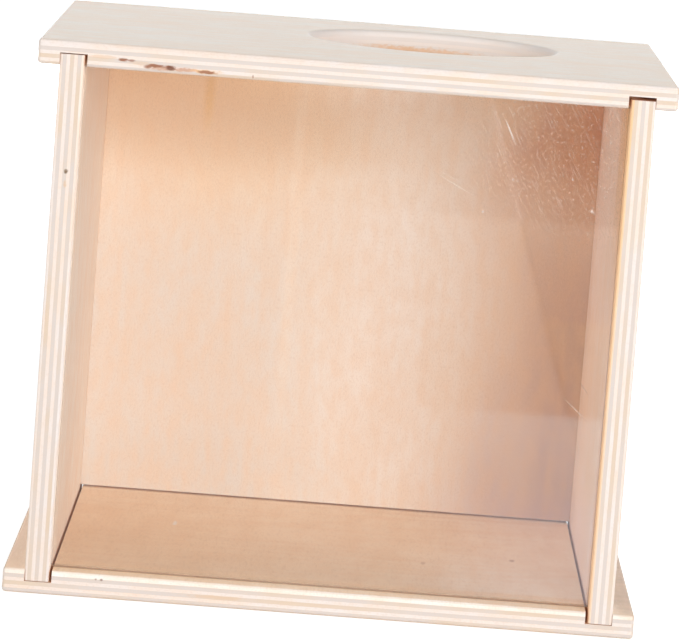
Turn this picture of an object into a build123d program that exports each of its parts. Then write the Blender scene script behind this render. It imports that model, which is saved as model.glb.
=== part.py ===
from build123d import *
import os

# A digging box for a hamster: plywood panels housed into a plywood base and lid,
# with a clear pane in front and a round way in through the lid.
# Millimetres. X runs along the front, left to right as it is looked at, the front
# faces -Y, Z is up, and the origin is the middle of the underside.

# Overall size
box_width = 232.0
box_depth = 200.0
box_height = 203.5

# Sheet material
ply = 9.0
pane_thickness = 4.0

# Lid and base
side_overhang = 8.0
corner_radius = 1.6
arris_radius = 1.2

# Housings, the through grooves that take the side panels
housing_depth = 4.5
housing_play = 1.0

# Side panels
foot_gap = 0.3
left_top_gap = 0.4
right_top_gap = 1.3
side_arris_radius = 1.0

# Back panel and its grooves in the side panels
back_inset = 7.0
back_groove_depth = 4.5
back_groove_play = 0.3
back_end_gap = 0.4
back_floor_gap = 0.8
lid_seat_gap = 0.2

# Pane and its grooves in the side panels
pane_inset = 8.0
pane_groove_depth = 4.5
pane_groove_play = 0.25
pane_end_gap = 0.5
pane_foot_gap = 0.2
pane_top_gap = 0.5
pane_edge_bevel = 0.3

# Way in through the lid, placed by shares of the inner width and the depth
entrance_radius = 46.5
entrance_rounding = 2.5
entrance_across_share = 0.14
entrance_back_share = 0.098

# How far every cut runs past what it cuts
overrun = 1.0

# Heights and places that follow from the sizes above
floor_z = ply
lid_z = box_height - ply
front_y = -box_depth / 2
rear_y = box_depth / 2
side_outer_x = box_width / 2 - side_overhang
side_inner_x = side_outer_x - ply
housing_width = ply + housing_play
housing_x = side_outer_x - housing_width / 2
side_foot_z = floor_z - housing_depth + foot_gap
housing_roof_z = lid_z + housing_depth
back_rear_y = rear_y - back_inset
back_centre_y = back_rear_y - ply / 2
back_groove_width = ply + back_groove_play
back_groove_y = back_rear_y - back_groove_width / 2
pane_centre_y = front_y + pane_inset + pane_thickness / 2
pane_groove_width = pane_thickness + pane_groove_play + pane_groove_play
entrance_x = (side_inner_x + side_inner_x) * entrance_across_share
entrance_y = box_depth * entrance_back_share

both_sides = (-1, 1)


def side_panel(side, top_gap):
    """One side panel. Both ends stand in the housings, and two grooves run down its
    inner face: a narrow one in front for the pane, and a wide one for the back panel."""
    panel_top_z = housing_roof_z - top_gap
    panel_height = panel_top_z - side_foot_z
    with BuildPart() as panel:
        with BuildSketch(Plane.XY.offset(side_foot_z)) as outline:
            with Locations((side * (side_outer_x - ply / 2), 0)):
                Rectangle(ply, box_depth)
            fillet(outline.vertices(), radius=side_arris_radius)
        extrude(amount=panel_height)
        with BuildSketch(Plane.XY.offset(side_foot_z - overrun)):
            pane_groove_reach = pane_groove_depth + overrun
            with Locations((side * (side_inner_x + pane_groove_depth - pane_groove_reach / 2), pane_centre_y)):
                Rectangle(pane_groove_reach, pane_groove_width)
            back_groove_reach = back_groove_depth + overrun
            with Locations((side * (side_inner_x + back_groove_depth - back_groove_reach / 2), back_groove_y)):
                Rectangle(back_groove_reach, back_groove_width)
        extrude(amount=panel_height + overrun + overrun, mode=Mode.SUBTRACT)
    return panel


os.makedirs("parts", exist_ok=True)

# Base panel, with a housing along each side of its upper face
with BuildPart() as base_panel:
    with BuildSketch():
        RectangleRounded(box_width, box_depth, corner_radius)
    extrude(amount=ply)
    fillet(base_panel.faces().filter_by(Axis.Z).edges(), radius=arris_radius)
    with BuildSketch(Plane.XY.offset(floor_z - housing_depth)):
        for side in both_sides:
            with Locations((side * housing_x, 0)):
                Rectangle(housing_width, box_depth + overrun)
    extrude(amount=housing_depth + overrun, mode=Mode.SUBTRACT)
base_panel.part.label = "base_panel"
export_step(base_panel.part, "parts/base_panel.step")

# Lid, the same outline, with the housings underneath and the way in through it
with BuildPart() as lid:
    with BuildSketch(Plane.XY.offset(lid_z)):
        RectangleRounded(box_width, box_depth, corner_radius)
    extrude(amount=ply)
    fillet(lid.faces().filter_by(Axis.Z).edges(), radius=arris_radius)
    with BuildSketch(Plane.XY.offset(lid_z - overrun)):
        for side in both_sides:
            with Locations((side * housing_x, 0)):
                Rectangle(housing_width, box_depth + overrun)
    extrude(amount=housing_depth + overrun, mode=Mode.SUBTRACT)
    with BuildSketch(Plane.XY.offset(lid_z - overrun)):
        with Locations((entrance_x, entrance_y)):
            Circle(entrance_radius)
    extrude(amount=ply + overrun + overrun, mode=Mode.SUBTRACT)
    entrance_wall = lid.faces().filter_by(GeomType.CYLINDER).sort_by(SortBy.AREA)[-1]
    fillet(entrance_wall.edges().filter_by(GeomType.CIRCLE), radius=entrance_rounding)
lid.part.label = "lid"
export_step(lid.part, "parts/lid.step")

# Side panels
left_side = side_panel(-1, left_top_gap)
left_side.part.label = "left_side"
export_step(left_side.part, "parts/left_side.step")

right_side = side_panel(1, right_top_gap)
right_side.part.label = "right_side"
export_step(right_side.part, "parts/right_side.step")

# Back panel, held in the side panels' rear grooves
with BuildPart() as back_panel:
    back_width = (side_inner_x + back_groove_depth - back_end_gap) * 2
    back_height = lid_z - lid_seat_gap - floor_z - back_floor_gap
    with BuildSketch(Plane.XY.offset(floor_z + back_floor_gap)):
        with Locations((0, back_centre_y)):
            Rectangle(back_width, ply)
    extrude(amount=back_height)
back_panel.part.label = "back_panel"
export_step(back_panel.part, "parts/back_panel.step")

# Clear pane, which drops down the front grooves until it stands on the base
with BuildPart() as window_pane:
    pane_width = (side_inner_x + pane_groove_depth - pane_end_gap) * 2
    pane_height = lid_z - pane_top_gap - floor_z - pane_foot_gap
    with BuildSketch(Plane.XY.offset(floor_z + pane_foot_gap)):
        with Locations((0, pane_centre_y)):
            Rectangle(pane_width, pane_thickness)
    extrude(amount=pane_height)
    chamfer(window_pane.edges(), length=pane_edge_bevel)
window_pane.part.label = "window_pane"
export_step(window_pane.part, "parts/window_pane.step")
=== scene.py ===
import math

import bpy
from mathutils import Matrix, Vector


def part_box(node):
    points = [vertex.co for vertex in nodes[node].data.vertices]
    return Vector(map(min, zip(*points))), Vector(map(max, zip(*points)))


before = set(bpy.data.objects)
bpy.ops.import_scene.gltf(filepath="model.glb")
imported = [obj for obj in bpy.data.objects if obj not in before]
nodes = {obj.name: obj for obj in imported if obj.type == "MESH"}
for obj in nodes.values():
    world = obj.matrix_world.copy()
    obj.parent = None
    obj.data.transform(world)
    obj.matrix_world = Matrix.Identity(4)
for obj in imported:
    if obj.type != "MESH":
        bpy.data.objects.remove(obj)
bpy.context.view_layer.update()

# Base panel
# A rectangle of 9 mm birch plywood that everything else stands in. Seven veneers are glued
# with their grain crossed, so every sawn edge shows light long grain and darker end grain
# by turns. It is bare wood, sanded, with its arrises rounded over.

millimetre = 0.001
per_millimetre = 1.0 / millimetre
face_veneer = 1.1
core_veneer = 1.36
veneer_count = 7
veneer_shift = (61.0, 23.0, 0.0)
veneer_wander = 0.16
wander_lengths = (16.0, 16.0, 1.0)
glue_line_width = 0.12

# Lengths of the grain's features along the fibres, across them and through the sheet
figure_lengths = (210.0, 55.0, 55.0)
cloud_lengths = (70.0, 30.0, 30.0)
streak_lengths = (60.0, 4.5, 4.5)
fibre_lengths = (5.0, 0.34, 0.34)
pore_lengths = (1.8, 0.30, 0.30)
plain_fleck = (1.1, 0.6, 0.6)
plain_patch = (9.0, 4.5, 4.5)

# The arched figure is a sine across the board, this many millimetres to a radian, bent by noise
figure_pitch = 6.4
figure_bend = 58.0

# Knots have ragged rims, whose lumps have these lengths along the three axes
ragged_lengths = (2.2, 2.2, 0.9)
raggedness = 1.3
noise_middle = 0.5

# Which part of each pattern shows, and how strongly
plain_speckle = 0.10
face_on_range = (0.90, 0.995)
end_on_range = (0.25, 0.95)
figure_range = (-0.2, 1.0)
pore_range = (0.66, 0.80)
streak_range = (0.40, 0.70, 0.0, 0.13)
cloud_range = (0.35, 0.75, 0.0, 0.16)
mottle_range = (0.32, 0.70, 0.0)
dark_fleck_range = (0.50, 0.72, 0.0)
pale_fleck_range = (0.42, 0.26, 0.0)
warm_range = (0.42, 0.66)
fibre_range = (0.40, 0.70, 0.0, 0.20)
glue_range = (0.35, 0.65, 0.12, 0.45)
inner_figure_share = 0.11
outer_figure_share = 0.34
inner_mottle_share = 0.24
outer_mottle_share = 0.12
pale_fleck_share = 0.6
long_pore_share = 0.16
end_pore_share = 0.38
zone_swing = 0.5
zone_core = 0.2
mark_core = 0.35
bore_core = 0.94
bore_painted_light_share = 0.6
joint_share = 0.85
box_softness = 0.1

# Relief and gloss
pore_relief = -0.6
pit_relief = -2.0
glue_relief = -0.3
relief_strength = 0.35
relief_depth = 0.00002
wood_specular = 0.3
sanded_rough_range = (0.3, 0.7, 0.50, 0.62)
sawn_roughness = 0.70
joint_roughness = 0.95

base_face = (0.985, 0.835, 0.665, 1.0)
left_ledge_painted_shade = (0.765, 0.490, 0.295, 1.0)
base_orange = (0.985, 0.775, 0.565, 1.0)
base_arris_painted_highlight = (0.930, 0.880, 0.820, 1.0)
base_foot_painted_shade = (0.800, 0.640, 0.460, 1.0)
base_painted_reflection = (0.990, 0.885, 0.765, 1.0)
right_ledge_painted_shade = (0.420, 0.278, 0.192, 1.0)
long_grain_edge = (0.785, 0.720, 0.688, 1.0)
end_grain = (0.652, 0.582, 0.544, 1.0)
end_grain_warm = (0.690, 0.558, 0.440, 1.0)
streak_tan = (0.860, 0.590, 0.380, 1.0)
pore_brown = (0.560, 0.390, 0.270, 1.0)
glue_brown = (0.560, 0.420, 0.320, 1.0)
knot_brown = (0.150, 0.050, 0.024, 1.0)
stain_red = (0.300, 0.120, 0.062, 1.0)
stain_pink = (0.560, 0.320, 0.215, 1.0)
stain_amber = (0.800, 0.500, 0.270, 1.0)
stain_tan = (0.700, 0.480, 0.300, 1.0)
sanded_pale_and_painted_light = (0.950, 0.920, 0.890, 1.0)
joint_brown = (0.800, 0.540, 0.360, 1.0)


def add_node(tree, kind, values=None, **settings):
    """Adds a shader node. Settings go on the node, and each value, which is a number or
    another node's socket, goes to the input of that name or place."""
    node = tree.nodes.new("ShaderNode" + kind)
    for key, setting in settings.items():
        setattr(node, key, setting)
    for place, value in (values or {}).items():
        if isinstance(value, bpy.types.NodeSocket):
            tree.links.new(value, node.inputs[place])
        else:
            node.inputs[place].default_value = value
    return node


def maths(tree, operation, first, second=0.0, third=0.0):
    """One sum on numbers."""
    return add_node(tree, "Math", {0: first, 1: second, 2: third}, operation=operation).outputs[0]


def vector_maths(tree, operation, first, second, third=(0.0, 0.0, 0.0)):
    """One sum on vectors."""
    sockets = {0: first, 1: second}
    if operation == "MULTIPLY_ADD":
        sockets[2] = third
    return add_node(tree, "VectorMath", sockets, operation=operation).outputs[0]


def mix_numbers(tree, share, first, second):
    """A number between two others."""
    sockets = {0: share, 2: first, 3: second}
    return add_node(tree, "Mix", sockets, data_type="FLOAT").outputs[0]


def mix_colours(tree, share, first, second, how="MIX"):
    """A colour between two others, or one laid over the other."""
    sockets = {0: share, 6: first, 7: second}
    return add_node(tree, "Mix", sockets, data_type="RGBA", blend_type=how).outputs[2]


def noise(tree, place, lengths, detail=2.0, roughness=0.5):
    """Noise whose lumps have these lengths along the three axes, in the place's own units."""
    stretched = vector_maths(tree, "DIVIDE", place, lengths)
    sockets = {"Vector": stretched, "Scale": 1.0, "Detail": detail, "Roughness": roughness}
    return add_node(tree, "TexNoise", sockets).outputs[0]


def ramp(tree, value, low, high, to_low=0.0, to_high=1.0):
    """Turns the range low to high smoothly into another range, and holds its ends."""
    sockets = {0: value, 1: low, 2: high, 3: to_low, 4: to_high}
    return add_node(tree, "MapRange", sockets, interpolation_type="SMOOTHSTEP").outputs[0]


def output_material(name):
    """An empty material with its output node."""
    material = bpy.data.materials.new(name)
    material.use_nodes = True
    material.node_tree.nodes.clear()
    return material, material.node_tree, add_node(material.node_tree, "OutputMaterial")


def spot(tree, place, centre, reach, ragged, core):
    """1 around a point of the panel and 0 outside its reach, with a full core of that share."""
    offset = vector_maths(tree, "SUBTRACT", place, centre)
    share = vector_maths(tree, "DIVIDE", offset, reach)
    length = add_node(tree, "VectorMath", {0: share}, operation="LENGTH").outputs["Value"]
    return ramp(tree, maths(tree, "ADD", length, ragged), 1.0, core)


def inside_box(tree, place, low, high):
    """1 inside a box that is given by its lowest and highest corners, and 0 outside it."""
    middle = [(first + last) / 2 for first, last in zip(low, high)]
    half = [(last - first) / 2 for first, last in zip(low, high)]
    offset = vector_maths(tree, "SUBTRACT", place, middle)
    beyond = vector_maths(tree, "SUBTRACT", vector_maths(tree, "ABSOLUTE", offset, middle), half)
    sides = add_node(tree, "SeparateXYZ", {0: beyond}).outputs
    furthest = maths(tree, "MAXIMUM", maths(tree, "MAXIMUM", sides[0], sides[1]), sides[2])
    return ramp(tree, furthest, box_softness, -box_softness)


def birch_plywood(name, through, along, first_face, face_colour, sheet_shift, zones=(), marks=(),
                  joints=(), speckle=plain_speckle, fleck=plain_fleck, patch=plain_patch,
                  painted_light_bore=None, outer=None):
    """Birch plywood as a solid stuff. Through is the axis that the veneers are stacked
    along, along is the grain of the two face veneers, and first_face is where the stack
    starts, in millimetres. Zones are broad soft changes of colour, among them painted shade and
    painted light, and marks are small knots and stains, each as (centre, reach, colour,
    strength). Joints are boxes, on the right and mirrored to the left, where the wood lies in a
    groove and is rough and brown. Speckle is how strongly the fine flecks show, fleck and patch
    are the lengths of a fleck and of a mottled patch along and across the grain, and the bore is
    the centre and reach of a hole whose wall is painted paler, as painted light.
    Outer is a box round the face that looks outwards, and its colour, where the figure of the
    grain shows more."""
    material, tree, output = output_material(name)
    across = ({"X", "Y", "Z"} - {through, along}).pop()
    source = add_node(tree, "TexCoord")
    scale = (per_millimetre, per_millimetre, per_millimetre)
    place = vector_maths(tree, "MULTIPLY", source.outputs["Object"], scale)
    position = add_node(tree, "SeparateXYZ", {0: place}).outputs
    facing = add_node(tree, "SeparateXYZ", {0: source.outputs["Normal"]}).outputs

    # The veneers wander a little, and each has its place in the stack
    flat_place = add_node(tree, "CombineXYZ", {0: position[along], 1: position[across]}).outputs[0]
    wander = maths(tree, "SUBTRACT", noise(tree, flat_place, wander_lengths), noise_middle)
    depth = maths(tree, "SUBTRACT", position[through], first_face)
    bent_depth = maths(tree, "MULTIPLY_ADD", wander, veneer_wander, depth)
    core_depth = maths(tree, "SUBTRACT", bent_depth, face_veneer)
    stack = maths(tree, "DIVIDE", core_depth, core_veneer)
    veneer = maths(tree, "ADD", maths(tree, "FLOOR", stack), 1.0)
    veneer = maths(tree, "MINIMUM", maths(tree, "MAXIMUM", veneer, 0.0), veneer_count - 1)
    crossed = maths(tree, "MODULO", veneer, 2.0)
    in_veneer = maths(tree, "FRACT", stack)
    to_glue = maths(tree, "MINIMUM", in_veneer, maths(tree, "SUBTRACT", 1.0, in_veneer))
    to_glue = maths(tree, "MULTIPLY", to_glue, core_veneer)
    glue = ramp(tree, to_glue, glue_line_width, 0.0)
    on_face = ramp(tree, maths(tree, "ABSOLUTE", facing[through]), *face_on_range)

    # Grain coordinates: along the fibres of this veneer, across them and through the sheet
    along_fibre = mix_numbers(tree, crossed, position[along], position[across])
    across_fibre = mix_numbers(tree, crossed, position[across], position[along])
    fibres = {0: along_fibre, 1: across_fibre, 2: depth}
    fibre_place = add_node(tree, "CombineXYZ", fibres).outputs[0]
    apart = add_node(tree, "CombineXYZ", {0: veneer, 1: veneer, 2: 0.0}).outputs[0]
    fibre_place = vector_maths(tree, "MULTIPLY_ADD", apart, veneer_shift, fibre_place)
    fibre_place = vector_maths(tree, "ADD", fibre_place, sheet_shift)

    # How squarely the saw cut across the fibres
    long_face = maths(tree, "ABSOLUTE", facing[along])
    cross_face = maths(tree, "ABSOLUTE", facing[across])
    cut = ramp(tree, mix_numbers(tree, crossed, long_face, cross_face), *end_on_range)

    # Grain, from the broad arched figure of a peeled veneer down to flecks and single pores
    figure_field = noise(tree, fibre_place, figure_lengths, detail=1.0)
    straight_rings = maths(tree, "DIVIDE", across_fibre, figure_pitch)
    rings = maths(tree, "MULTIPLY_ADD", figure_field, figure_bend, straight_rings)
    figure = ramp(tree, maths(tree, "SINE", rings), *figure_range)
    clouds = noise(tree, fibre_place, cloud_lengths, detail=2.0)
    streaks = noise(tree, fibre_place, streak_lengths, detail=1.5)
    mottle = noise(tree, fibre_place, patch, detail=2.5)
    flecks = noise(tree, fibre_place, fleck, detail=1.0)
    fibre_lines = noise(tree, fibre_place, fibre_lengths, detail=3.0, roughness=0.6)
    pores = ramp(tree, noise(tree, fibre_place, pore_lengths, detail=1.0), *pore_range)

    long_colour = mix_colours(tree, on_face, long_grain_edge, face_colour)
    broad = maths(tree, "MULTIPLY_ADD", clouds, zone_swing, -zone_swing / 2)
    for centre, reach, zone_colour, strength in zones:
        zone = spot(tree, place, centre, reach, broad, zone_core)
        zone = maths(tree, "MULTIPLY", zone, strength)
        long_colour = mix_colours(tree, zone, long_colour, zone_colour)
    outside = 0.0
    if outer:
        outer_low, outer_high, outer_colour = outer
        in_outer = inside_box(tree, place, outer_low, outer_high)
        outside = maths(tree, "MULTIPLY", in_outer, on_face)
        long_colour = mix_colours(tree, outside, long_colour, outer_colour)
    colour = mix_colours(tree, ramp(tree, streaks, *streak_range), long_colour, streak_tan)
    figure_share = mix_numbers(tree, outside, inner_figure_share, outer_figure_share)
    colour = mix_colours(tree, maths(tree, "MULTIPLY", figure, figure_share), colour, streak_tan)
    colour = mix_colours(tree, ramp(tree, clouds, *cloud_range), colour, streak_tan)
    mottle_share = mix_numbers(tree, outside, inner_mottle_share, outer_mottle_share)
    colour = mix_colours(tree, ramp(tree, mottle, *mottle_range, mottle_share), colour, streak_tan)
    colour = mix_colours(tree, ramp(tree, flecks, *dark_fleck_range, speckle), colour, pore_brown)
    pale_share = ramp(tree, flecks, *pale_fleck_range, pale_fleck_share * speckle)
    colour = mix_colours(tree, pale_share, colour, sanded_pale_and_painted_light)
    warm_share = ramp(tree, clouds, *warm_range)
    end_colour = mix_colours(tree, warm_share, end_grain, end_grain_warm)
    end_colour = mix_colours(tree, ramp(tree, fibre_lines, *fibre_range), end_colour, streak_tan)
    colour = mix_colours(tree, cut, colour, end_colour)
    pore_share = mix_numbers(tree, cut, long_pore_share, end_pore_share)
    colour = mix_colours(tree, maths(tree, "MULTIPLY", pores, pore_share), colour, pore_brown)
    glue_share = maths(tree, "MULTIPLY", glue, ramp(tree, clouds, *glue_range))
    colour = mix_colours(tree, glue_share, colour, glue_brown)
    # The wall of the bore is painted paler, as painted light
    if painted_light_bore:
        bore_centre, bore_reach = painted_light_bore
        bore_painted_light = spot(tree, place, bore_centre, bore_reach, 0.0, bore_core)
        colour = mix_colours(tree, maths(tree, "MULTIPLY", bore_painted_light, bore_painted_light_share), colour, sanded_pale_and_painted_light)

    # Knots and stains
    ragged = noise(tree, place, ragged_lengths, detail=3.0)
    ragged = maths(tree, "SUBTRACT", ragged, noise_middle)
    ragged = maths(tree, "MULTIPLY", ragged, raggedness)
    pits = 0.0
    for centre, reach, mark_colour, strength in marks:
        mask = spot(tree, place, centre, reach, ragged, mark_core)
        mask = maths(tree, "MULTIPLY", mask, strength)
        colour = mix_colours(tree, mask, colour, mark_colour)
        pits = maths(tree, "MAXIMUM", pits, mask)

    # Rough brown wood in the joints, which are alike on the left and the right
    from_middle = maths(tree, "ABSOLUTE", position["X"])
    sockets = {0: from_middle, 1: position["Y"], 2: position["Z"]}
    either_side = add_node(tree, "CombineXYZ", sockets).outputs[0]
    jointed = 0.0
    for low, high in joints:
        jointed = maths(tree, "MAXIMUM", jointed, inside_box(tree, either_side, low, high))
    colour = mix_colours(tree, maths(tree, "MULTIPLY", jointed, joint_share), colour, joint_brown)

    height = maths(tree, "MULTIPLY_ADD", pores, pore_relief, fibre_lines)
    height = maths(tree, "MULTIPLY_ADD", pits, pit_relief, height)
    height = maths(tree, "MULTIPLY_ADD", glue, glue_relief, height)
    relief = {"Strength": relief_strength, "Distance": relief_depth, "Height": height}
    bump = add_node(tree, "Bump", relief)
    surface = {"Base Color": colour, "Normal": bump.outputs[0], "Specular IOR Level": wood_specular}
    shader = add_node(tree, "BsdfPrincipled", surface)
    rough = ramp(tree, fibre_lines, *sanded_rough_range)
    rough = mix_numbers(tree, cut, rough, sawn_roughness)
    rough = mix_numbers(tree, jointed, rough, joint_roughness)
    tree.links.new(rough, shader.inputs["Roughness"])
    tree.links.new(shader.outputs[0], output.inputs["Surface"])
    return material


base_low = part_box("base_panel")[0]
base_zones = (
    ((-95.0, -40.0, 9.0), (110.0, 150.0, 3.0), base_orange, 0.90),
    # Painted shade on the ledges beside the side panels, which the panels shade
    ((114.0, -40.0, 9.0), (10.0, 160.0, 3.0), right_ledge_painted_shade, 0.95),
    ((-114.0, -40.0, 9.0), (10.0, 160.0, 3.0), left_ledge_painted_shade, 0.90),
    # Paler on the right of the floor, a painted reflection of the pale veil over the pane there
    ((60.0, -60.0, 9.0), (38.0, 75.0, 3.0), base_painted_reflection, 0.85),
    # Paler along the front top arris, a painted highlight
    ((0.0, -100.4, 8.0), (900.0, 2.4, 2.6), base_arris_painted_highlight, 0.90),
    # Darker along the foot of the front edge, painted shade where the base meets the floor
    ((0.0, -100.4, 0.2), (900.0, 2.4, 1.7), base_foot_painted_shade, 0.75),
)
base_marks = (
    ((-81.8, -100.0, 7.05), (0.75, 1.0, 0.65), knot_brown, 0.55),
    ((-79.8, -100.0, 7.05), (0.85, 1.0, 0.75), knot_brown, 0.70),
    ((-38.0, -100.0, 3.8), (14.0, 1.5, 1.0), stain_tan, 0.5),
    ((-57.8, 17.0, 9.0), (1.1, 6.0, 1.0), sanded_pale_and_painted_light, 0.95),
    ((73.3, -8.9, 9.0), (1.5, 3.0, 1.0), stain_red, 0.45),
    ((38.8, -27.4, 9.0), (1.2, 4.0, 1.0), stain_red, 0.30),
)
base_joints = (
    ((97.8, -99.4, 4.3), (108.2, 99.4, 8.9)),
)
base_sanded_off = 0.8
base_start = base_low.z / millimetre - base_sanded_off
nodes["base_panel"].material_slots[0].material = birch_plywood(
    "birch_base", through="Z", along="X", first_face=base_start, face_colour=base_face,
    sheet_shift=(11.0, 37.0, 0.0), zones=base_zones, marks=base_marks, joints=base_joints,
    speckle=0.15, fleck=(0.8, 5.0, 0.6), patch=(8.0, 44.0, 5.0)
)

# Side panels
# Two upright boards of the same plywood, grain upright, standing in housings in the base and
# lid. Each has a narrow groove for the pane and a wide one for the back panel.

side_face = (0.985, 0.945, 0.885, 1.0)
side_rose = (0.985, 0.875, 0.870, 1.0)
side_dusk = (0.885, 0.755, 0.740, 1.0)
side_top_painted_shade = (0.900, 0.780, 0.685, 1.0)
side_front_painted_shade = (0.860, 0.545, 0.285, 1.0)
outer_birch = (0.900, 0.790, 0.665, 1.0)
knot_olive = (0.200, 0.130, 0.075, 1.0)
left_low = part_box("left_side")[0]
right_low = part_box("right_side")[0]
left_zones = (
    # Darker and warmer along the top of the inner face, painted shade under the lid
    ((-99.2, 0.0, 200.0), (1.8, 400.0, 60.0), side_top_painted_shade, 0.85),
)
right_zones = (
    ((99.2, 0.0, 100.0), (1.8, 400.0, 500.0), side_rose, 1.00),
    ((99.2, 0.0, 0.0), (1.8, 400.0, 120.0), side_dusk, 0.80),
    # Golden brown at the front of the inner face and along the pane's groove, painted shade
    ((99.2, -100.0, 205.0), (1.8, 80.0, 125.0), side_front_painted_shade, 0.95),
    ((99.2, -97.0, 100.0), (1.8, 9.0, 500.0), side_front_painted_shade, 0.95),
)
left_marks = (
    ((-103.0, -100.0, 156.0), (0.95, 1.0, 1.05), knot_olive, 0.95),
    ((-103.1, -100.0, 151.3), (0.80, 1.0, 1.90), stain_tan, 0.70),
)
side_joints = (
    ((98.0, -99.4, 194.6), (109.0, 99.4, 200.0)),
    ((98.0, -99.4, 4.0), (109.0, 99.4, 8.9)),
    ((99.2, -92.6, 4.0), (104.0, -87.4, 200.0)),
    ((99.2, 83.2, 4.0), (104.0, 93.4, 200.0)),
)
left_outer = ((-108.6, -99.2, 4.9), (-107.6, 99.2, 200.0), outer_birch)
right_outer = ((107.6, -99.2, 4.9), (108.6, 99.2, 200.0), outer_birch)
nodes["left_side"].material_slots[0].material = birch_plywood(
    "birch_left_side", through="X", along="Z", first_face=left_low.x / millimetre,
    face_colour=side_face, sheet_shift=(5.0, 80.0, 0.0), zones=left_zones, marks=left_marks,
    joints=side_joints, outer=left_outer
)
nodes["right_side"].material_slots[0].material = birch_plywood(
    "birch_right_side", through="X", along="Z", first_face=right_low.x / millimetre,
    face_colour=side_face, sheet_shift=(70.0, 19.0, 0.0), zones=right_zones,
    joints=side_joints, outer=right_outer
)

# Back panel
# A plain board of the same plywood with its grain upright, let into the rear grooves of the
# side panels. It stands a hair above the base, which leaves a dark slit along its foot. Its
# colour has painted shade, redder and darker towards the right where the right side panel
# shades it and golden along the top under the lid, and painted light in the middle.

back_face = (0.895, 0.810, 0.720, 1.0)
back_left = (0.810, 0.748, 0.685, 1.0)
back_right_painted_shade = (0.825, 0.605, 0.475, 1.0)
back_low_right_painted_shade = (0.610, 0.430, 0.395, 1.0)
back_top_right_painted_shade = (0.720, 0.375, 0.240, 1.0)
back_right_band_painted_shade = (0.600, 0.385, 0.300, 1.0)
back_top_painted_warm_shade = (0.960, 0.700, 0.450, 1.0)
back_amber = (0.850, 0.575, 0.290, 1.0)
back_left_band_painted_shade = (0.800, 0.600, 0.430, 1.0)
back_corner_painted_shade = (0.610, 0.300, 0.190, 1.0)
back_foot = (0.745, 0.690, 0.630, 1.0)
back_middle_painted_light = (0.960, 0.885, 0.815, 1.0)
back_top_painted_light = (0.990, 0.860, 0.740, 1.0)
back_stripe = (0.950, 0.820, 0.680, 1.0)
back_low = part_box("back_panel")[0]
back_zones = (
    ((-75.0, 84.0, 40.0), (110.0, 30.0, 190.0), back_left, 1.00),
    # Redder and darker towards the right and at the foot on the right, painted shade where the right
    # side panel shades the back
    ((118.0, 84.0, 100.0), (95.0, 30.0, 400.0), back_right_painted_shade, 0.95),
    ((130.0, 84.0, 15.0), (105.0, 30.0, 145.0), back_low_right_painted_shade, 0.90),
    # Golden along the top, painted warm shade under the lid
    ((-60.0, 84.0, 215.0), (140.0, 30.0, 125.0), back_top_painted_warm_shade, 0.95),
    # Deeper painted shade high on the right, in a band on the right and in the top right corner
    ((112.0, 84.0, 168.0), (70.0, 30.0, 54.0), back_top_right_painted_shade, 0.85),
    ((88.0, 84.0, 92.0), (26.0, 30.0, 54.0), back_right_band_painted_shade, 0.42),
    ((105.0, 84.0, 160.0), (50.0, 30.0, 20.0), back_corner_painted_shade, 0.65),
    # Lighter in the middle, painted light
    ((22.0, 84.0, 80.0), (46.0, 30.0, 115.0), back_middle_painted_light, 0.70),
    # Lighter high in the middle, painted light that comes in through the way in
    ((28.0, 84.0, 188.0), (64.0, 30.0, 46.0), back_top_painted_light, 0.92),
    # A touch more of the painted warm shade under the lid
    ((57.0, 84.0, 188.0), (26.0, 30.0, 26.0), back_top_painted_warm_shade, 0.45),
    # A darker band below the top on the left, painted shade under the lid
    ((-60.0, 84.0, 158.0), (95.0, 30.0, 24.0), back_left_band_painted_shade, 0.64),
    ((-75.0, 84.0, 12.0), (105.0, 30.0, 36.0), back_foot, 0.70),
    ((-21.0, 84.0, 130.0), (4.0, 30.0, 130.0), back_stripe, 0.35),
    ((-58.4, 84.0, 171.0), (3.6, 30.0, 20.0), back_amber, 0.90),
)
back_joints = (
    ((0.0, 84.3, 9.5), (103.4, 93.4, 10.6)),
    ((98.9, 83.2, 9.5), (103.4, 93.4, 194.6)),
)
back_outer = ((-104.0, 92.6, 9.0), (104.0, 93.6, 195.0), outer_birch)
nodes["back_panel"].material_slots[0].material = birch_plywood(
    "birch_back", through="Y", along="Z", first_face=back_low.y / millimetre,
    face_colour=back_face, sheet_shift=(33.0, 52.0, 0.0), zones=back_zones, joints=back_joints,
    speckle=0.18, outer=back_outer
)

# Lid
# The same rectangle as the base with housings underneath, resting loose on the side panels.
# The round way in is sawn through it and its edge rounded over, and its wall is painted paler,
# as painted light. Dark knots lie in its front edge, and the foot of the far wall and the near
# rim of the way in are amber.

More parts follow.
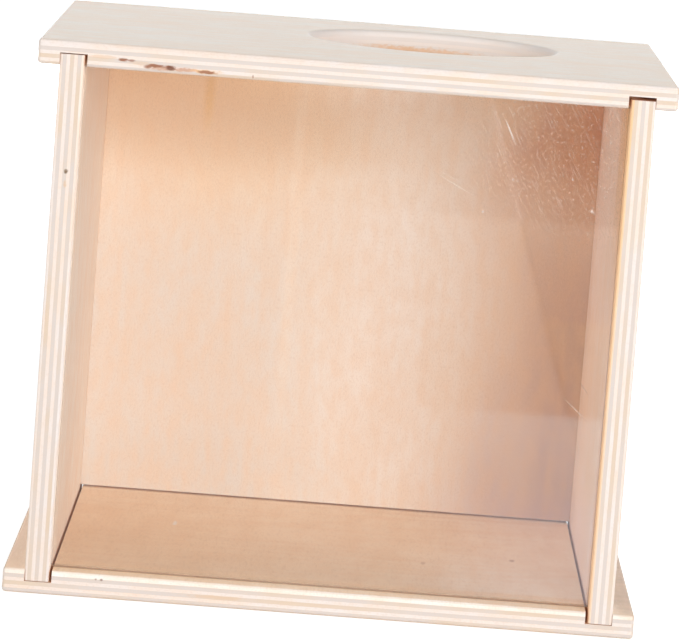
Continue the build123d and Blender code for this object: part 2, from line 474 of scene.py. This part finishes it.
# The face is greyer and darker than the other panels': partly the sheet's own tone, partly painted
# shade and sheen for the dim grey top of the lid
lid_face = (0.840, 0.760, 0.675, 1.0)
lid_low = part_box("lid")[0]
lid_marks = (
    ((-92.0, -100.0, 198.6), (8.0, 1.0, 0.8), stain_tan, 0.5),
    ((-78.5, -100.0, 197.3), (6.5, 1.0, 1.0), stain_tan, 0.45),
    ((-85.0, -100.0, 198.1), (2.6, 1.0, 0.95), stain_red, 0.95),
    ((-82.2, -100.0, 198.0), (2.0, 1.0, 0.75), stain_red, 0.75),
    ((-70.5, -100.0, 196.2), (8.0, 1.0, 1.20), stain_pink, 0.90),
    ((-62.5, -100.0, 196.0), (7.0, 1.0, 1.00), stain_pink, 0.90),
    ((-72.3, -100.0, 196.7), (6.6, 1.0, 0.85), stain_red, 0.95),
    ((-75.8, -100.0, 196.4), (2.0, 1.0, 1.00), stain_red, 0.85),
    ((-67.8, -100.0, 196.3), (2.5, 1.0, 1.05), knot_brown, 0.85),
    ((-55.0, -100.0, 195.9), (6.4, 1.0, 1.15), stain_amber, 0.85),
    ((-54.4, -100.0, 195.8), (4.4, 1.0, 0.95), stain_red, 0.90),
    ((-38.0, -100.0, 195.6), (0.4, 1.0, 1.0), stain_red, 0.6),
    # Amber along the foot of the far wall and on the near rim of the way in
    ((25.0, 66.0, 195.4), (42.0, 16.0, 3.0), stain_amber, 0.62),
    ((10.0, 62.0, 196.2), (26.0, 18.0, 2.4), stain_amber, 0.45),
    ((27.0, -28.0, 201.9), (24.0, 3.0, 1.8), stain_amber, 0.60),
)
lid_joints = (
    ((97.8, -99.4, 194.6), (108.2, 99.4, 199.3)),
)
way_in_centre = (27.72, 19.6, 199.0)
way_in_reach = (49.5, 49.5, 400.0)
lid_sanded_off = 1.4
lid_start = lid_low.z / millimetre - lid_sanded_off
nodes["lid"].material_slots[0].material = birch_plywood(
    "birch_lid", through="Z", along="X", first_face=lid_start, face_colour=lid_face,
    sheet_shift=(90.0, 8.0, 0.0), marks=lid_marks, joints=lid_joints,
    painted_light_bore=(way_in_centre, way_in_reach)
)

# Window pane
# A sheet of 4 mm clear acrylic with polished faces, dropped down the front grooves of the
# side panels until it stands on the base. Its sawn edges are paler and duller than its faces,
# and drawing it up and down has left a few scratches and specks of dust on it.

acrylic_tint = (0.985, 0.990, 0.988, 1.0)
mirror_white = (1.0, 1.0, 1.0, 1.0)
head_on_mirror = 0.04
even_blend = 0.5
mirror_steepness = 5.0
polish_lengths = (0.02, 0.02, 0.02)
polish_range = (0.4, 0.7, 0.015, 0.04)
acrylic_material, tree, output = output_material("clear_acrylic_pane")
source = add_node(tree, "TexCoord")
facing = add_node(tree, "SeparateXYZ", {0: source.outputs["Normal"]}).outputs
slant = add_node(tree, "LayerWeight", {"Blend": even_blend}).outputs["Facing"]
steep = maths(tree, "POWER", slant, mirror_steepness)
mirror_share = maths(tree, "MULTIPLY_ADD", steep, 1.0 - head_on_mirror, head_on_mirror)
polish = noise(tree, source.outputs["Object"], polish_lengths, detail=3.0)
clear = add_node(tree, "BsdfTransparent", {"Color": acrylic_tint})
gloss = add_node(tree, "BsdfGlossy", {"Color": mirror_white})
tree.links.new(ramp(tree, polish, *polish_range), gloss.inputs["Roughness"])
face = add_node(tree, "MixShader", {0: mirror_share, 1: clear.outputs[0], 2: gloss.outputs[0]})

# Scratches as (centre, slope, reach, strength) and specks as (centre, size, strength)
scratch_white = (0.90, 0.86, 0.82, 1.0)
scratches = (
    ((56.6, -92.0, 182.0), -64.0, (6.4, 9.0, 0.34), 0.54),
    ((38.0, -92.0, 161.2), -27.0, (11.0, 9.0, 0.20), 0.20),
    ((36.0, -92.0, 164.0), -24.0, (7.0, 9.0, 0.16), 0.16),
    ((88.4, -92.0, 82.1), -41.0, (8.0, 9.0, 0.25), 0.22),
    ((91.0, -92.0, 90.0), -50.0, (4.0, 9.0, 0.22), 0.16),
)
specks = (
    ((58.9, -92.0, 164.6), 0.6, 0.30),
    ((48.9, -92.0, 152.1), 0.7, 0.28),
    ((88.5, -92.0, 155.2), 0.8, 0.45),
    ((80.6, -92.0, 166.3), 0.6, 0.30),
)
scratch_core = 0.2
speck_depth = 9.0
pane_axis = (0.0, 1.0, 0.0)
hairline_slope = math.radians(-62.0)
hairline_lengths = (9.0, 9.0, 0.45)
hairline_range = (0.60, 0.78)
hairline_strength = 0.14
dust_lengths = (0.9, 9.0, 0.9)
dust_range = (0.56, 0.76)
dust_strength = 0.18
worn_centre = (88.0, -92.0, 178.0)
worn_reach = (62.0, 30.0, 46.0)
worn_core = 0.5
pane_scale = (per_millimetre, per_millimetre, per_millimetre)
pane_spot = vector_maths(tree, "MULTIPLY", source.outputs["Object"], pane_scale)
turned = {"Vector": pane_spot, "Axis": pane_axis, "Angle": hairline_slope}
hairline_place = add_node(tree, "VectorRotate", turned).outputs[0]
hairlines = ramp(tree, noise(tree, hairline_place, hairline_lengths, detail=1.0), *hairline_range)
worn_share = spot(tree, pane_spot, worn_centre, worn_reach, 0.0, worn_core)
dust_haze = ramp(tree, noise(tree, pane_spot, dust_lengths, detail=2.0), *dust_range)
hairline_haze = maths(tree, "MULTIPLY", hairlines, hairline_strength)
haze = maths(tree, "MAXIMUM", hairline_haze, maths(tree, "MULTIPLY", dust_haze, dust_strength))
worn = maths(tree, "MULTIPLY", haze, worn_share)
for centre, slope, reach, strength in scratches:
    turned = {"Vector": pane_spot, "Center": centre, "Axis": pane_axis, "Angle": math.radians(slope)}
    along_scratch = add_node(tree, "VectorRotate", turned).outputs[0]
    scratch = spot(tree, along_scratch, centre, reach, 0.0, scratch_core)
    worn = maths(tree, "MAXIMUM", worn, maths(tree, "MULTIPLY", scratch, strength))
for centre, size, strength in specks:
    speck = spot(tree, pane_spot, centre, (size, speck_depth, size), 0.0, scratch_core)
    worn = maths(tree, "MAXIMUM", worn, maths(tree, "MULTIPLY", speck, strength))
scratched = add_node(tree, "BsdfDiffuse", {"Color": scratch_white})
face = add_node(tree, "MixShader", {0: worn, 1: face.outputs[0], 2: scratched.outputs[0]})

# The sawn edges, brown at the foot with painted shade and a painted reflection of the wood
pale_cut = (0.86, 0.90, 0.90, 1.0)
foot_cut_painted_shade = (0.45, 0.31, 0.22, 1.0)
foot_shade_heights = (0.014, 0.011)
cut_roughness = 0.35
cut_share = 0.55
edge_on_range = (0.9, 0.5)
pane_place = add_node(tree, "SeparateXYZ", {0: source.outputs["Object"]}).outputs
at_foot = ramp(tree, pane_place["Z"], *foot_shade_heights)
cut_colour = mix_colours(tree, at_foot, pale_cut, foot_cut_painted_shade)
cut_surface = {"Base Color": cut_colour, "Roughness": cut_roughness}
cut_shader = add_node(tree, "BsdfPrincipled", cut_surface)
sawn = add_node(tree, "MixShader", {0: cut_share, 1: clear.outputs[0], 2: cut_shader.outputs[0]})
edge = ramp(tree, maths(tree, "ABSOLUTE", facing["Y"]), *edge_on_range)
both = add_node(tree, "MixShader", {0: edge, 1: face.outputs[0], 2: sawn.outputs[0]})
tree.links.new(both.outputs[0], output.inputs["Surface"])
nodes["window_pane"].material_slots[0].material = acrylic_material

# Floor and backdrop
# A plain pale floor. It looks white to the camera, keeps the box's shadow, and gives the
# pane the bands of light that a paper sheet and a table in front of the box throw on it.

floor_reach = 7.0
floor_drop = 0.0001
floor_colour = (0.80, 0.80, 0.80, 1.0)
floor_mesh = bpy.data.meshes.new("studio_floor")
corners = [(-1, -1), (1, -1), (1, 1), (-1, 1)]
floor_points = [(x * floor_reach, y * floor_reach, 0.0) for x, y in corners]
floor_mesh.from_pydata(floor_points, [], [(0, 1, 2, 3)])
floor = bpy.data.objects.new("studio_floor", floor_mesh)
bpy.context.scene.collection.objects.link(floor)
floor.location.z = -floor_drop

floor_material, tree, output = output_material("studio_floor")
source = add_node(tree, "TexCoord")
floor_place = add_node(tree, "SeparateXYZ", {0: source.outputs["Object"]}).outputs
path = add_node(tree, "LightPath").outputs

# Where the fields of light and shade lie in front of the box, in metres. A turn is the stretch
# from left to right over which one changes into another.
table_start = -1.420
table_softness = 0.02
near_table_start = -0.946
near_table_softness = 0.012
paper_start = -0.604
paper_softness = 0.01
near_paper_range = (-0.42, -0.30)
box_foot_range = (-0.10, -0.13)
floor_line = 0.1125
line_softness = 0.001
line_reach = 0.0026
line_core = 0.25
room_turn = (0.02, 0.14)
table_turn = (0.02, 0.16)
paper_turn = (0.02, 0.12)
near_paper_turn = (0.03, 0.09)

# What the pane's reflection sees of them
room_colour = (0.50, 0.47, 0.46, 1.0)
room_far_right = (0.04, 0.03, 0.03, 1.0)
table_left = (0.58, 0.58, 0.60, 1.0)
table_right = (1.30, 1.15, 0.92, 1.0)
near_shade = (0.26, 0.26, 0.32, 1.0)
far_shade = (0.60, 0.50, 0.36, 1.0)
paper_colour = (0.55, 0.95, 1.15, 1.0)
near_paper = (0.12, 0.22, 0.48, 1.0)
light_line = (0.90, 0.86, 0.84, 1.0)
dark_line = (0.40, 0.38, 0.36, 1.0)
box_foot_glow = (0.5, 0.5, 0.5, 1.0)


def soft_step(tree, value, place, softness):
    """0 before a place and 1 past it, turning over this distance to each side of it."""
    return ramp(tree, value, place - softness, place + softness)


along_x, along_y = floor_place["X"], floor_place["Y"]
on_table = soft_step(tree, along_y, table_start, table_softness)
on_near_table = soft_step(tree, along_y, near_table_start, near_table_softness)
on_paper = soft_step(tree, along_y, paper_start, paper_softness)
right_of_line = soft_step(tree, along_x, floor_line, line_softness)
from_line = maths(tree, "ABSOLUTE", maths(tree, "SUBTRACT", along_x, floor_line))
on_line = ramp(tree, from_line, line_reach, line_core * line_reach)
room = mix_colours(tree, ramp(tree, along_x, *room_turn), room_colour, room_far_right)
room = mix_colours(tree, on_line, room, light_line, how="ADD")
table = mix_colours(tree, ramp(tree, along_x, *table_turn), table_left, table_right)
near_shaded = maths(tree, "MULTIPLY", on_near_table, right_of_line)
table = mix_colours(tree, near_shaded, table, near_shade, how="SUBTRACT")
far_shaded = maths(tree, "MULTIPLY", maths(tree, "SUBTRACT", 1.0, on_near_table), right_of_line)
table = mix_colours(tree, far_shaded, table, far_shade, how="SUBTRACT")
line_on_table = maths(tree, "MULTIPLY", on_line, maths(tree, "SUBTRACT", 1.0, on_paper))
table = mix_colours(tree, line_on_table, table, dark_line, how="SUBTRACT")
glow = mix_colours(tree, on_table, room, table)
paper_share = maths(tree, "MULTIPLY", on_paper, ramp(tree, along_x, *paper_turn))
glow = mix_colours(tree, paper_share, glow, paper_colour, how="ADD")
near_share = ramp(tree, along_y, *near_paper_range)
near_share = maths(tree, "MULTIPLY", near_share, ramp(tree, along_x, *near_paper_turn))
glow = mix_colours(tree, near_share, glow, near_paper, how="ADD")
in_front = ramp(tree, along_y, *box_foot_range)
glow = mix_colours(tree, in_front, box_foot_glow, glow)

# What the camera sees, and what the lamps light
near_white = (0.64, 0.64, 0.64, 1.0)
far_white = (0.90, 0.90, 0.90, 1.0)
white_spread = (0.25, 1.6)
unlit = (0.0, 0.0, 0.0, 1.0)
from_box = add_node(tree, "VectorMath", {0: source.outputs["Object"]}, operation="LENGTH")
spread = ramp(tree, from_box.outputs["Value"], *white_spread)
camera_white = mix_colours(tree, spread, near_white, far_white)
glow = mix_colours(tree, path["Is Camera Ray"], glow, camera_white)
shown = maths(tree, "MAXIMUM", path["Is Camera Ray"], path["Is Glossy Ray"])
matt_colour = mix_colours(tree, path["Is Glossy Ray"], floor_colour, unlit)
matt = add_node(tree, "BsdfDiffuse", {"Color": matt_colour})
glowing = add_node(tree, "Emission", {"Color": glow, "Strength": shown})
added = add_node(tree, "AddShader", {0: matt.outputs[0], 1: glowing.outputs[0]})
tree.links.new(added.outputs[0], output.inputs["Surface"])
floor_mesh.materials.append(floor_material)

ambient_level = 0.22
backdrop_level = 1.0
backdrop_white = (1.0, 1.0, 1.0, 1.0)
world = bpy.data.worlds.new("studio_backdrop")
world.use_nodes = True
world.node_tree.nodes.clear()
tree = world.node_tree
path = add_node(tree, "LightPath").outputs
seen = maths(tree, "MAXIMUM", path["Is Camera Ray"], path["Is Glossy Ray"])
seen = maths(tree, "MAXIMUM", seen, path["Is Transmission Ray"])
ambient = add_node(tree, "Background", {"Color": backdrop_white, "Strength": ambient_level})
backdrop = add_node(tree, "Background", {"Color": backdrop_white, "Strength": backdrop_level})
chosen = add_node(tree, "MixShader", {0: seen, 1: ambient.outputs[0], 2: backdrop.outputs[0]})
add_node(tree, "OutputWorld", {"Surface": chosen.outputs[0]})
bpy.context.scene.world = world

# Studio lights
# Six soft neutral lamps round the box. The key stands behind the camera, low and a little to
# the right, and the others fill in the walls, the top and the back. The rear one is low, so
# that the lid shines palely towards the camera.

studio_aim = Vector((0.0, 0.0, 0.1))
lamp_colour = (1.0, 1.0, 1.0)


def softbox(name, azimuth, elevation, distance, width, height, level):
    """A soft lamp aimed at the box. Azimuth 0 is straight in front and 90 to the right.
    Level is how bright it makes a white surface that faces it."""
    lamp = bpy.data.lights.new(name, "AREA")
    lamp.shape = "RECTANGLE"
    lamp.size = width
    lamp.size_y = height
    lamp.energy = level * math.pi * math.pi * distance * distance
    lamp.color = lamp_colour
    stand = bpy.data.objects.new(name, lamp)
    turn, lift = math.radians(azimuth), math.radians(elevation)
    flat_reach = math.cos(lift)
    towards = Vector((math.sin(turn) * flat_reach, -math.cos(turn) * flat_reach, math.sin(lift)))
    stand.location = studio_aim + towards * distance
    stand.rotation_mode = "QUATERNION"
    stand.rotation_quaternion = towards.to_track_quat("Z", "Y")
    stand.visible_camera = False
    bpy.context.scene.collection.objects.link(stand)


softbox("key_softbox", azimuth=20, elevation=9, distance=2.1, width=1.0, height=0.68, level=0.66)
softbox("fill_softbox", azimuth=-34, elevation=5, distance=2.1, width=0.8, height=0.50, level=0.19)
softbox("top_softbox", azimuth=0, elevation=88, distance=1.8, width=1.6, height=1.2, level=0.19)
softbox("left_softbox", azimuth=-84, elevation=6, distance=2.0, width=1.0, height=0.7, level=0.30)
softbox("right_softbox", azimuth=86, elevation=3, distance=2.0, width=1.0, height=0.6, level=0.30)
softbox("rear_softbox", azimuth=180, elevation=9, distance=2.2, width=1.4, height=0.8, level=0.32)

# Camera
# A long lens in front of the box, a little above it and looking down, because the box is seen
# almost square from the front with a narrow strip of its lid. It is rolled to the left, which
# tilts the whole box in the picture.

camera_place = (-0.00279, -1.85034, 0.34867)
camera_lens = 257.77
camera_sensor = 36.0
camera_tilt = math.radians(7.777)
camera_roll = math.radians(4.410)
camera_turn = math.radians(-0.088)
lens = bpy.data.cameras.new("camera")
lens.sensor_fit = "HORIZONTAL"
lens.sensor_width = camera_sensor
lens.lens = camera_lens
camera = bpy.data.objects.new("camera", lens)
upright = Matrix.Rotation(camera_turn, 4, "Z") @ Matrix.Rotation(math.pi / 2 - camera_tilt, 4, "X")
placed = Matrix.Translation(camera_place) @ upright
camera.matrix_world = placed @ Matrix.Rotation(camera_roll, 4, "Z")
bpy.context.scene.collection.objects.link(camera)
bpy.context.scene.camera = camera
bpy.context.scene.view_settings.view_transform = "Standard"
bpy.context.scene.cycles.max_bounces = 12
bpy.context.scene.cycles.diffuse_bounces = 10
